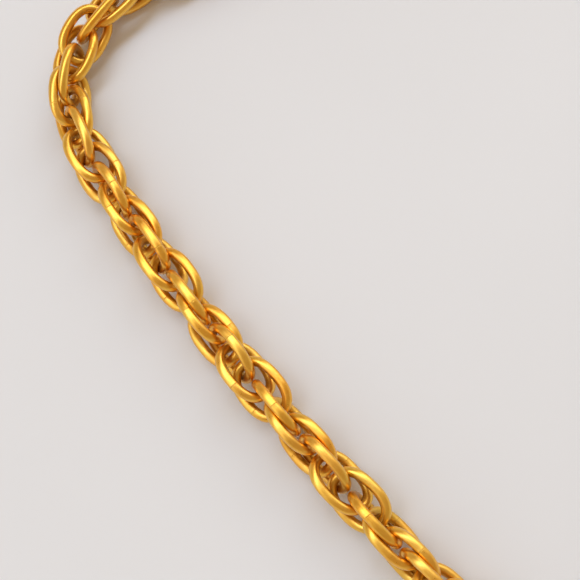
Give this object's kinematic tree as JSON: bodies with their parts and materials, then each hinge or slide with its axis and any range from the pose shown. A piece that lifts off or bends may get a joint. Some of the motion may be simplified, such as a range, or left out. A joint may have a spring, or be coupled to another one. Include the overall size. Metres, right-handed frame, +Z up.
{
  "type": "chain necklace",
  "caption": "Gold rope-chain necklace of interlocking oval wire links, laid out unfastened in a loose loop, with a lobster clasp and a catch ring.",
  "frame": {"origin": "middle of the laid-out loop's outer box, on the surface that the necklace lies on", "axes": "+Z up off the surface, +X along the longest extent of the laid-out loop, towards its round end"},
  "size_m": [0.1886, 0.1386, 0.0057],
  "materials": {
    "gold_plated_brass": "satin",
    "spring_steel": "satin"
  },
  "bodies": {
    "catch_jump_ring": {"catch_jump_ring": "gold_plated_brass"},
    "catch_ring": {"catch_ring": "gold_plated_brass"},
    "chain_run_01": {"chain_run_01": "gold_plated_brass"},
    "chain_run_02": {"chain_run_02": "gold_plated_brass"},
    "chain_run_03": {"chain_run_03": "gold_plated_brass"},
    "chain_run_04": {"chain_run_04": "gold_plated_brass"},
    "chain_run_05": {"chain_run_05": "gold_plated_brass"},
    "chain_run_06": {"chain_run_06": "gold_plated_brass"},
    "chain_run_07": {"chain_run_07": "gold_plated_brass"},
    "chain_run_08": {"chain_run_08": "gold_plated_brass"},
    "chain_run_09": {"chain_run_09": "gold_plated_brass"},
    "chain_run_10": {"chain_run_10": "gold_plated_brass"},
    "chain_run_11": {"chain_run_11": "gold_plated_brass"},
    "chain_run_12": {"chain_run_12": "gold_plated_brass"},
    "chain_run_13": {"chain_run_13": "gold_plated_brass"},
    "chain_run_14": {"chain_run_14": "gold_plated_brass"},
    "chain_run_15": {"chain_run_15": "gold_plated_brass"},
    "chain_run_16": {"chain_run_16": "gold_plated_brass"},
    "chain_run_17": {"chain_run_17": "gold_plated_brass"},
    "chain_run_18": {"chain_run_18": "gold_plated_brass"},
    "clasp_body": {"clasp_body": "gold_plated_brass", "clasp_pin": "spring_steel", "clasp_spring": "spring_steel"},
    "clasp_jump_ring": {"clasp_jump_ring": "gold_plated_brass"},
    "clasp_lever": {"clasp_lever": "gold_plated_brass"},
    "end_link_clasp_side": {"end_link_clasp_side": "gold_plated_brass"},
    "end_link_ring_side": {"end_link_ring_side": "gold_plated_brass"},
    "link_01": {"link_01": "gold_plated_brass"},
    "link_02": {"link_02": "gold_plated_brass"},
    "link_03": {"link_03": "gold_plated_brass"},
    "link_04": {"link_04": "gold_plated_brass"},
    "link_05": {"link_05": "gold_plated_brass"},
    "link_06": {"link_06": "gold_plated_brass"},
    "link_07": {"link_07": "gold_plated_brass"},
    "link_08": {"link_08": "gold_plated_brass"},
    "link_09": {"link_09": "gold_plated_brass"},
    "link_10": {"link_10": "gold_plated_brass"},
    "link_11": {"link_11": "gold_plated_brass"},
    "link_12": {"link_12": "gold_plated_brass"},
    "link_13": {"link_13": "gold_plated_brass"},
    "link_14": {"link_14": "gold_plated_brass"},
    "link_15": {"link_15": "gold_plated_brass"},
    "link_16": {"link_16": "gold_plated_brass"},
    "link_17": {"link_17": "gold_plated_brass"},
    "link_18": {"link_18": "gold_plated_brass"},
    "link_19": {"link_19": "gold_plated_brass"},
    "link_20": {"link_20": "gold_plated_brass"},
    "link_21": {"link_21": "gold_plated_brass"},
    "link_22": {"link_22": "gold_plated_brass"},
    "link_23": {"link_23": "gold_plated_brass"},
    "link_24": {"link_24": "gold_plated_brass"},
    "link_25": {"link_25": "gold_plated_brass"},
    "link_26": {"link_26": "gold_plated_brass"},
    "link_27": {"link_27": "gold_plated_brass"},
    "link_28": {"link_28": "gold_plated_brass"},
    "link_29": {"link_29": "gold_plated_brass"},
    "link_30": {"link_30": "gold_plated_brass"},
    "link_31": {"link_31": "gold_plated_brass"},
    "link_32": {"link_32": "gold_plated_brass"},
    "link_33": {"link_33": "gold_plated_brass"}
  },
  "joints": [
    {"name": "catch_jump_ring_swing", "type": "hinge", "parent": "end_link_ring_side", "child": "catch_jump_ring", "pos_m": [-0.00399, 0.06088, 0.00188], "axis": [0.4001, -0.9165, 0], "range_deg": [-8, 8]},
    {"name": "catch_ring_lift", "type": "hinge", "parent": "catch_jump_ring", "child": "catch_ring", "pos_m": [-0.00606, 0.05997, 0.0015], "axis": [-0.4001, 0.9165, 0], "range_deg": [0, 40]},
    {"name": "chain_run_01_pitch", "type": "hinge", "parent": "chain_run_02", "child": "chain_run_01", "pos_m": [-0.07801, 0.03511, 0.00187], "axis": [0.3985, -0.9172, 0], "range_deg": [0, 6]},
    {"name": "chain_run_02_yaw", "type": "hinge", "parent": "link_01", "child": "chain_run_02", "pos_m": [-0.09134, 0.02696, 0.00187], "axis": [0, 0, -1], "range_deg": [-10, 2]},
    {"name": "chain_run_03_yaw", "type": "hinge", "parent": "chain_run_04", "child": "chain_run_03", "pos_m": [-0.04432, -0.03304, 0.00187], "axis": [0, 0, 1], "range_deg": [-6, 6]},
    {"name": "chain_run_04_pitch", "type": "hinge", "parent": "chain_run_05", "child": "chain_run_04", "pos_m": [-0.02751, -0.04591, 0.00187], "axis": [0.5817, 0.8134, 0], "range_deg": [0, 6]},
    {"name": "chain_run_05_yaw", "type": "hinge", "parent": "chain_run_06", "child": "chain_run_05", "pos_m": [-0.00989, -0.05766, 0.00187], "axis": [0, 0, -1], "range_deg": [-6, 6]},
    {"name": "chain_run_06_pitch", "type": "hinge", "parent": "chain_run_07", "child": "chain_run_06", "pos_m": [0.00964, -0.06563, 0.00187], "axis": [0.2284, 0.9736, 0], "range_deg": [0, 6]},
    {"name": "chain_run_07_yaw", "type": "hinge", "parent": "chain_run_08", "child": "chain_run_07", "pos_m": [0.03068, -0.06717, 0.00187], "axis": [0, 0, 1], "range_deg": [-6, 6]},
    {"name": "chain_run_09_pitch", "type": "hinge", "parent": "chain_run_08", "child": "chain_run_09", "pos_m": [0.05116, -0.06214, 0.00187], "axis": [0.3876, -0.9218, 0], "range_deg": [0, 6]},
    {"name": "chain_run_10_yaw", "type": "hinge", "parent": "chain_run_09", "child": "chain_run_10", "pos_m": [0.06909, -0.05102, 0.00187], "axis": [0, 0, -1], "range_deg": [-6, 6]},
    {"name": "chain_run_11_pitch", "type": "hinge", "parent": "chain_run_10", "child": "chain_run_11", "pos_m": [0.0827, -0.03491, 0.00187], "axis": [0.8555, -0.5178, 0], "range_deg": [0, 6]},
    {"name": "chain_run_12_yaw", "type": "hinge", "parent": "chain_run_11", "child": "chain_run_12", "pos_m": [0.09066, -0.01538, 0.00187], "axis": [0, 0, 1], "range_deg": [-6, 6]},
    {"name": "chain_run_13_pitch", "type": "hinge", "parent": "chain_run_12", "child": "chain_run_13", "pos_m": [0.0922, 0.00566, 0.00187], "axis": [0.9965, 0.084, 0], "range_deg": [0, 6]},
    {"name": "chain_run_14_yaw", "type": "hinge", "parent": "chain_run_13", "child": "chain_run_14", "pos_m": [0.08716, 0.02614, 0.00187], "axis": [0, 0, -1], "range_deg": [-6, 6]},
    {"name": "chain_run_15_pitch", "type": "hinge", "parent": "chain_run_14", "child": "chain_run_15", "pos_m": [0.07604, 0.04407, 0.00188], "axis": [0.7567, 0.6537, 0], "range_deg": [0, 6]},
    {"name": "chain_run_16_yaw", "type": "hinge", "parent": "chain_run_15", "child": "chain_run_16", "pos_m": [0.05993, 0.05767, 0.00188], "axis": [0, 0, 1], "range_deg": [-6, 6]},
    {"name": "chain_run_17_pitch", "type": "hinge", "parent": "chain_run_16", "child": "chain_run_17", "pos_m": [0.04039, 0.06563, 0.00188], "axis": [0.2278, 0.9737, 0], "range_deg": [0, 6]},
    {"name": "chain_run_18_yaw", "type": "hinge", "parent": "chain_run_17", "child": "chain_run_18", "pos_m": [0.01936, 0.06717, 0.00188], "axis": [0, 0, -1], "range_deg": [-6, 6]},
    {"name": "clasp_body_swivel", "type": "hinge", "parent": "clasp_jump_ring", "child": "clasp_body", "pos_m": [-0.05717, 0.04286, 0], "axis": [0, 0, 1], "range_deg": [-25, 25]},
    {"name": "clasp_jump_ring_swing", "type": "hinge", "parent": "end_link_clasp_side", "child": "clasp_jump_ring", "pos_m": [-0.06023, 0.04183, 0.00187], "axis": [-0.3173, 0.9483, 0], "range_deg": [-8, 8]},
    {"name": "clasp_lever_open", "type": "hinge", "parent": "clasp_body", "child": "clasp_lever", "pos_m": [-0.05369, 0.04286, 0], "axis": [0, 0, 1], "range_deg": [0, 20], "stiffness_Nm_per_rad": 0.003, "springref_deg": -17.19, "deforming": ["clasp_spring"]},
    {"name": "end_link_clasp_side_yaw", "type": "hinge", "parent": "chain_run_01", "child": "end_link_clasp_side", "pos_m": [-0.06319, 0.04084, 0.00187], "axis": [0, 0, 1], "range_deg": [-6, 6]},
    {"name": "end_link_ring_side_pitch", "type": "hinge", "parent": "chain_run_18", "child": "end_link_ring_side", "pos_m": [-0.00113, 0.06212, 0.00188], "axis": [-0.3881, 0.9216, 0], "range_deg": [0, 6]},
    {"name": "link_01_pitch", "type": "hinge", "parent": "link_02", "child": "link_01", "pos_m": [-0.0921, 0.02537, 0.00187], "axis": [0.9372, -0.3489, 0], "range_deg": [-4, 4]},
    {"name": "link_02_yaw", "type": "hinge", "parent": "link_03", "child": "link_02", "pos_m": [-0.09257, 0.02367, 0.00187], "axis": [0, 0, 1], "range_deg": [-2, 10]},
    {"name": "link_03_pitch", "type": "hinge", "parent": "link_04", "child": "link_03", "pos_m": [-0.09273, 0.02192, 0.00187], "axis": [-1, 0.0033, 0], "range_deg": [-4, 4]},
    {"name": "link_04_yaw", "type": "hinge", "parent": "link_05", "child": "link_04", "pos_m": [-0.09258, 0.02016, 0.00187], "axis": [0, 0, -1], "range_deg": [-10, 2]},
    {"name": "link_05_pitch", "type": "hinge", "parent": "link_06", "child": "link_05", "pos_m": [-0.09212, 0.01846, 0.00187], "axis": [-0.9394, -0.3427, 0], "range_deg": [-4, 4]},
    {"name": "link_06_yaw", "type": "hinge", "parent": "link_07", "child": "link_06", "pos_m": [-0.09137, 0.01686, 0.00187], "axis": [0, 0, 1], "range_deg": [-2, 10]},
    {"name": "link_07_pitch", "type": "hinge", "parent": "link_08", "child": "link_07", "pos_m": [-0.0904, 0.01539, 0.00187], "axis": [0.8213, 0.5705, 0], "range_deg": [-4, 4]},
    {"name": "link_08_yaw", "type": "hinge", "parent": "link_09", "child": "link_08", "pos_m": [-0.08938, 0.01395, 0.00187], "axis": [0, 0, -1], "range_deg": [-6, 6]},
    {"name": "link_09_pitch", "type": "hinge", "parent": "link_10", "child": "link_09", "pos_m": [-0.08836, 0.01251, 0.00187], "axis": [0.8113, 0.5847, 0], "range_deg": [-6, 6]},
    {"name": "link_10_yaw", "type": "hinge", "parent": "link_11", "child": "link_10", "pos_m": [-0.08732, 0.01108, 0.00187], "axis": [0, 0, 1], "range_deg": [-6, 6]},
    {"name": "link_11_pitch", "type": "hinge", "parent": "link_12", "child": "link_11", "pos_m": [-0.08627, 0.00967, 0.00187], "axis": [-0.801, -0.5987, 0], "range_deg": [-6, 6]},
    {"name": "link_12_yaw", "type": "hinge", "parent": "link_13", "child": "link_12", "pos_m": [-0.08521, 0.00826, 0.00187], "axis": [0, 0, -1], "range_deg": [-6, 6]},
    {"name": "link_13_pitch", "type": "hinge", "parent": "link_14", "child": "link_13", "pos_m": [-0.08413, 0.00686, 0.00187], "axis": [-0.7905, -0.6125, 0], "range_deg": [-6, 6]},
    {"name": "link_14_yaw", "type": "hinge", "parent": "link_15", "child": "link_14", "pos_m": [-0.08304, 0.00547, 0.00187], "axis": [0, 0, 1], "range_deg": [-6, 6]},
    {"name": "link_15_pitch", "type": "hinge", "parent": "link_16", "child": "link_15", "pos_m": [-0.08194, 0.00409, 0.00187], "axis": [0.7797, 0.6262, 0], "range_deg": [-6, 6]},
    {"name": "link_16_yaw", "type": "hinge", "parent": "link_17", "child": "link_16", "pos_m": [-0.08083, 0.00271, 0.00187], "axis": [0, 0, -1], "range_deg": [-6, 6]},
    {"name": "link_17_pitch", "type": "hinge", "parent": "link_18", "child": "link_17", "pos_m": [-0.07971, 0.00135, 0.00187], "axis": [0.7687, 0.6396, 0], "range_deg": [-6, 6]},
    {"name": "link_18_yaw", "type": "hinge", "parent": "link_19", "child": "link_18", "pos_m": [-0.07858, 0, 0.00187], "axis": [0, 0, 1], "range_deg": [-6, 6]},
    {"name": "link_19_pitch", "type": "hinge", "parent": "link_20", "child": "link_19", "pos_m": [-0.07743, -0.00134, 0.00187], "axis": [-0.7578, -0.6525, 0], "range_deg": [-6, 6]},
    {"name": "link_20_yaw", "type": "hinge", "parent": "link_21", "child": "link_20", "pos_m": [-0.07627, -0.00267, 0.00187], "axis": [0, 0, -1], "range_deg": [-6, 6]},
    {"name": "link_21_pitch", "type": "hinge", "parent": "link_22", "child": "link_21", "pos_m": [-0.0751, -0.004, 0.00187], "axis": [-0.7467, -0.6652, 0], "range_deg": [-6, 6]},
    {"name": "link_22_yaw", "type": "hinge", "parent": "link_23", "child": "link_22", "pos_m": [-0.07392, -0.00531, 0.00187], "axis": [0, 0, 1], "range_deg": [-6, 6]},
    {"name": "link_23_pitch", "type": "hinge", "parent": "link_24", "child": "link_23", "pos_m": [-0.07273, -0.00661, 0.00187], "axis": [0.7354, 0.6776, 0], "range_deg": [-6, 6]},
    {"name": "link_24_yaw", "type": "hinge", "parent": "link_25", "child": "link_24", "pos_m": [-0.07153, -0.00791, 0.00187], "axis": [0, 0, -1], "range_deg": [-6, 6]},
    {"name": "link_25_pitch", "type": "hinge", "parent": "link_26", "child": "link_25", "pos_m": [-0.07032, -0.00919, 0.00187], "axis": [0.7239, 0.6899, 0], "range_deg": [-6, 6]},
    {"name": "link_26_yaw", "type": "hinge", "parent": "link_27", "child": "link_26", "pos_m": [-0.0691, -0.01046, 0.00187], "axis": [0, 0, 1], "range_deg": [-6, 6]},
    {"name": "link_27_pitch", "type": "hinge", "parent": "link_28", "child": "link_27", "pos_m": [-0.06786, -0.01172, 0.00187], "axis": [-0.7122, -0.702, 0], "range_deg": [-6, 6]},
    {"name": "link_28_yaw", "type": "hinge", "parent": "link_29", "child": "link_28", "pos_m": [-0.06662, -0.01298, 0.00187], "axis": [0, 0, -1], "range_deg": [-6, 6]},
    {"name": "link_29_pitch", "type": "hinge", "parent": "link_30", "child": "link_29", "pos_m": [-0.06536, -0.01422, 0.00187], "axis": [-0.7003, -0.7138, 0], "range_deg": [-6, 6]},
    {"name": "link_30_yaw", "type": "hinge", "parent": "link_31", "child": "link_30", "pos_m": [-0.0641, -0.01545, 0.00187], "axis": [0, 0, 1], "range_deg": [-6, 6]},
    {"name": "link_31_pitch", "type": "hinge", "parent": "link_32", "child": "link_31", "pos_m": [-0.06283, -0.01667, 0.00187], "axis": [0.6905, 0.7233, 0], "range_deg": [-6, 6]},
    {"name": "link_32_yaw", "type": "hinge", "parent": "link_33", "child": "link_32", "pos_m": [-0.06155, -0.01788, 0.00187], "axis": [0, 0, -1], "range_deg": [-6, 6]},
    {"name": "link_33_pitch", "type": "hinge", "parent": "chain_run_03", "child": "link_33", "pos_m": [-0.06026, -0.01909, 0.00187], "axis": [0.6826, 0.7308, 0], "range_deg": [0, 6]}
  ]
}
